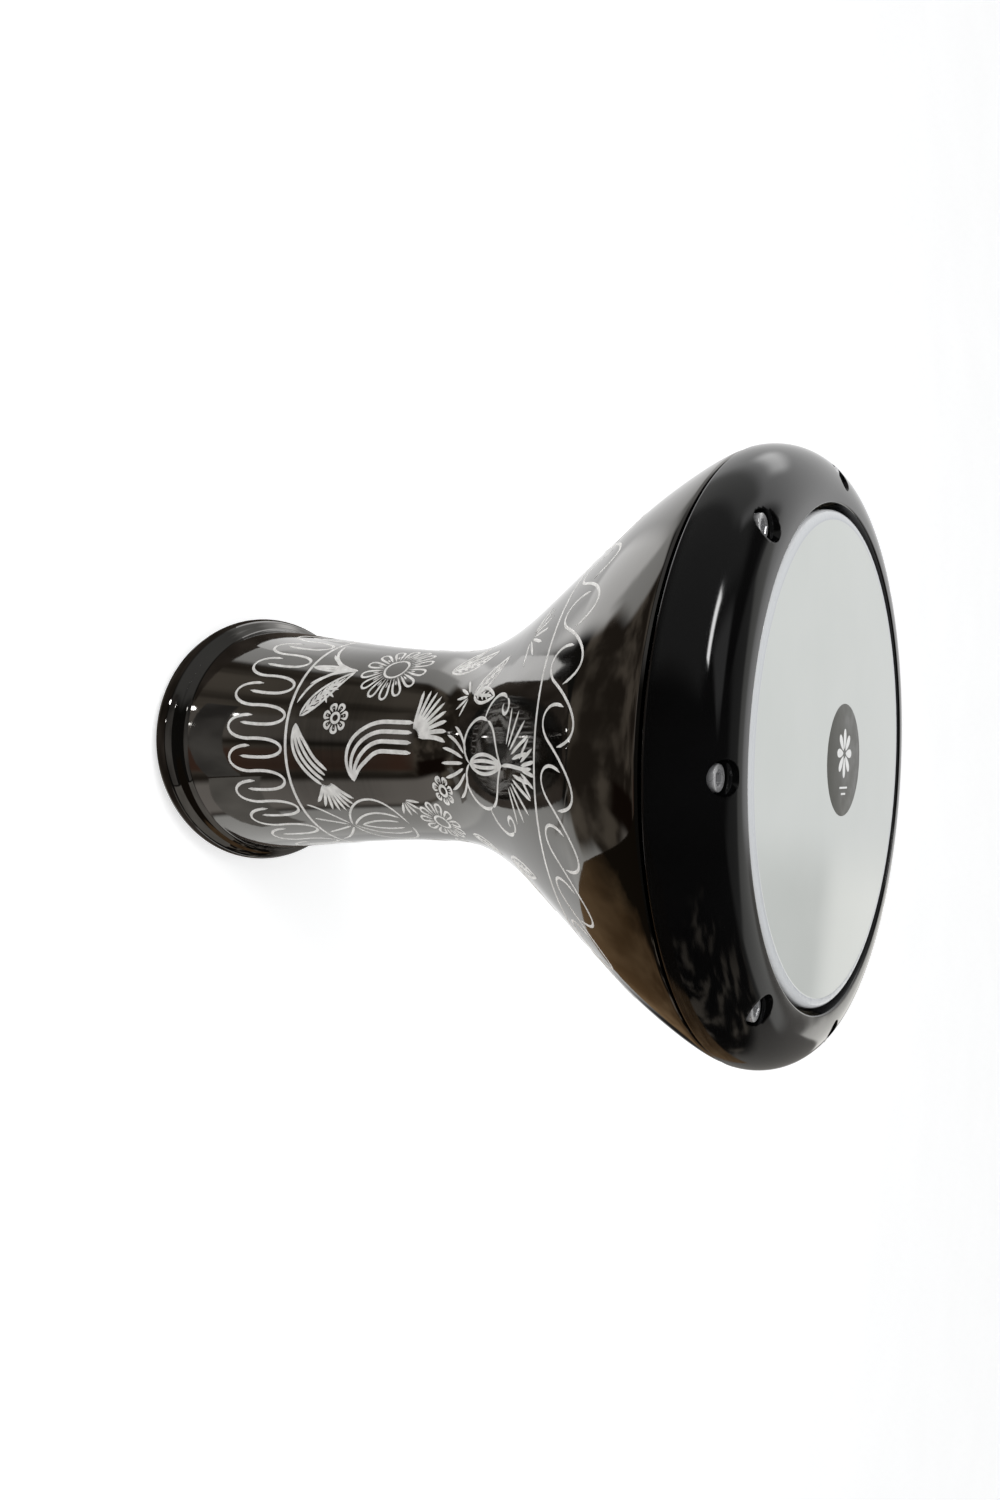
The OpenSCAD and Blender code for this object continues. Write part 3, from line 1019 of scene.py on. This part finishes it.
def flowered_panel():
    """Half of the shell between the two lines: flowers, leaves and plumes of different kinds, set freely.

    They come as three lists of strokes, for three widths of cut.
    """
    broad = [
        *set_down(292, 171, plume(25, 96, 21, 17, 9, 28), 184, flip=-1),
        *set_down(261, 126, plume(42, 50, 4, 12, 8, 22), 6),
    ]
    bold = [
        *set_down(277, 270, lotus(), 4, 1.05),
        *set_down(257, 128, leaf(44, 9, 6), 139),
        *set_down(240, 140, fan(5, 90, 110, 2, 12), -28),
        *set_down(257, 157, rosette(3, 9, 7)),
        *set_down(303, 204, fan(5, 90, 110, 2, 12), -60),
        *set_down(294, 240, rosette(3, 8, 7)),
        *set_down(226, 120, sprig()),
        *set_down(247, 266, leaf(31, 9, 4), 118),
        *set_down(247, 266, leaf(25, 8, 3), 74),
        *set_down(247, 262, fan(5, 90, 120, 2, 12), 180),
    ]
    fine = [
        *set_down(222, 186, rosette(8, 24, 14), 6),
        *set_down(324, 150, tulip()),
        *set_down(318, 226, rosette(5, 15, 11)),
        *set_down(320, 250, leaf(26, 8, 3), 90),
        *set_down(314, 290, leaf(32, 9, 4), 64),
        *set_down(314, 290, leaf(32, 9, 4), 112),
        *set_down(226, 232, leaf(40, 10, 5), 92),
        *set_down(226, 232, leaf(28, 8, 3), 128),
        *set_down(237, 312, fan(7, 90, 140, 3, 17), -10),
        *set_down(357, 205, tall_spray()),
    ]
    return broad, bold, fine


def upper_vine(count=30):
    """Leaning loops that run round under the shoulder, each one starting inside the one before."""
    unit = np.vstack([bezier(((-13.8, 359.4), (-17, 345), (-11.6, 338), (-7.6, 349)), 16),
                      bezier(((-7.6, 349), (-3.4, 361), (3.6, 380), (5.6, 356)), 20)[1:]])
    return [unit + (360 / count * k, 0) for k in range(count)]


def lower_chain(count=21):
    """Upright arches above the foot, each with a hook that cups the end of the one before."""
    unit = np.vstack([bezier(((-17.2, 88), (-17.6, 62), (-4.8, 62), (-4.6, 86)), 18),
                      bezier(((-4.6, 86), (-6.6, 122), (5.2, 122), (5.2, 98)), 22)[1:],
                      bezier(((5.2, 98), (5.4, 92), (5.0, 85), (4.6, 79)), 6)[1:]])
    chain = []
    for k in range(count):
        # A hand keeps time, but not exactly
        loose = np.array([1 + 0.05 * math.sin(2.3 * k), 1 + 0.04 * math.sin(1.7 * k + 1)])
        chain.append((unit - (0, 92)) * loose + (360 / count * k, 92))
    return chain


def ring_line(height):
    """A plain line right round the shell."""
    return np.stack([np.linspace(0, 360, 361), np.full(361, height)], -1)


def engraved(name, strokes_by_width, metal):
    """Cut strokes as thin ribbons that lie on the shell: a bright groove between two burred lips."""
    across = np.array([-1.0, -0.6, 0.0, 0.6, 1.0])
    lift = np.array([-0.02, 0.11, 0.045, 0.11, -0.02])
    verts, faces = [], []
    for width, strokes in strokes_by_width:
        for stroke in strokes:
            bearing, z = np.radians(stroke[:, 0]), stroke[:, 1]
            r = shell_radius(z)
            slope = (shell_radius(z + 0.5) - shell_radius(z - 0.5))
            centre = np.stack([r * np.cos(bearing), r * np.sin(bearing), z], -1)
            normal = np.stack([np.cos(bearing), np.sin(bearing), -slope], -1)
            normal /= np.linalg.norm(normal, axis=1)[:, None]
            way = np.gradient(centre, axis=0)
            way /= np.linalg.norm(way, axis=1)[:, None]
            side = np.cross(normal, way)
            run = np.concatenate([[0], np.cumsum(np.linalg.norm(np.diff(centre, axis=0), axis=1))])
            closed = np.linalg.norm(centre[0] - centre[-1]) < 0.1
            ends = np.minimum(run, run[-1] - run) / 3.5
            half = 0.5 * width * (np.ones_like(run) if closed else 0.12 + 0.88 * np.clip(ends, 0, 1) ** 0.6)
            start = len(verts)
            for i in range(len(run)):
                row = centre[i] + np.outer(across * half[i], side[i]) + np.outer(lift, normal[i])
                verts += [tuple(v * MM) for v in row]
            for i in range(len(run) - 1):
                for j in range(4):
                    a = start + 5 * i + j
                    faces.append((a, a + 1, a + 6, a + 5))
    piece = new_object(name, verts, faces)
    bm = bmesh.new()
    bm.from_mesh(piece.data)
    bmesh.ops.recalc_face_normals(bm, faces=bm.faces)
    bm.to_mesh(piece.data)
    bm.free()
    paint(piece, metal)
    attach(piece, "root")
    return piece


def engraving(metal):
    """Two bands with their lines, and the flowered panel twice round."""
    bands = [(1.45, upper_vine()), (2.1, lower_chain()), (1.9, [ring_line(337.5)]), (2.3, [ring_line(118.7)])]
    engraved("engraved_bands", bands, metal)
    flowers = []
    for width, strokes in zip((2.5, 1.9, 1.6), flowered_panel()):
        flowers.append((width, [stroke + (turn, 0) for turn in (0, 180) for stroke in strokes]))
    engraved("engraved_flowers", flowers, metal)


photo_camera()
studio_floor()
glossy_cards()
studio_world()
studio_lights()

aluminium = bright_metal("aluminium_bright", (0.62, 0.62, 0.63), (0.80, 0.80, 0.80), 0.25, 0.42)
shell_piece(shell_gloss(), cast_inside())
engraving(bright_cut())
ring_piece(ring_enamel())
head_piece(film_white())
badge_piece(badge_ink("badge_ink_grey", (0.062, 0.062, 0.055), (0.090, 0.090, 0.079)),
            badge_ink("badge_ink_white", (0.66, 0.66, 0.65), (0.80, 0.80, 0.79)))
screws_and_washers(bright_metal("screw_chrome", (0.50, 0.50, 0.51), (0.68, 0.68, 0.69), 0.20, 0.42, 0.72),
                   bright_metal("washer_zinc", (0.42, 0.42, 0.44), (0.60, 0.60, 0.62), 0.22, 0.42))
paint(frame["nodes"]["head_hoop"], aluminium)
paint(frame["nodes"]["hoop_resin"], resin_amber())

bpy.context.scene.view_settings.view_transform = "Standard"
